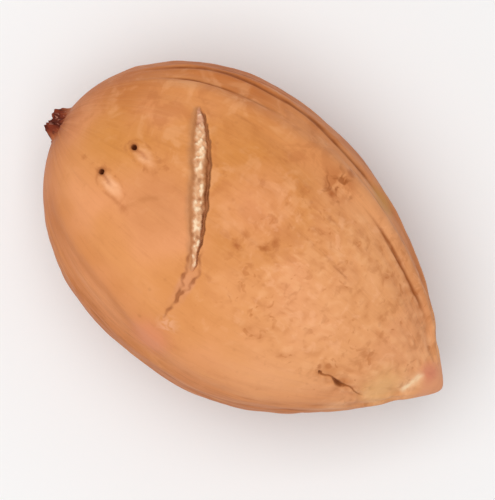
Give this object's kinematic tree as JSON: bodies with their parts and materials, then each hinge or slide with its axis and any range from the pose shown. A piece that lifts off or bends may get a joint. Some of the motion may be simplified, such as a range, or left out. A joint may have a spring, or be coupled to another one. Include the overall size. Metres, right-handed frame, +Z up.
{
  "type": "torreya nut",
  "caption": "Torreya nut in its tan woody shell: a ribbed egg with a pointed beak, pores with raised lids, a split and a torn stalk stub.",
  "frame": {"origin": "on the surface that the nut lies on, under the middle of its bounding box", "axes": "+X along the nut from the stalk stub at the blunt end to the pointed tip, +Z up from the surface, +Y across the nut"},
  "size_m": [0.0364, 0.0232, 0.021],
  "materials": {
    "nut_shell": "satin tan shell, darker at the rim, with a dark red-brown stub and a cream split"
  },
  "bodies": {
    "root": {"torreya_nut": "nut_shell"}
  },
  "joints": []
}
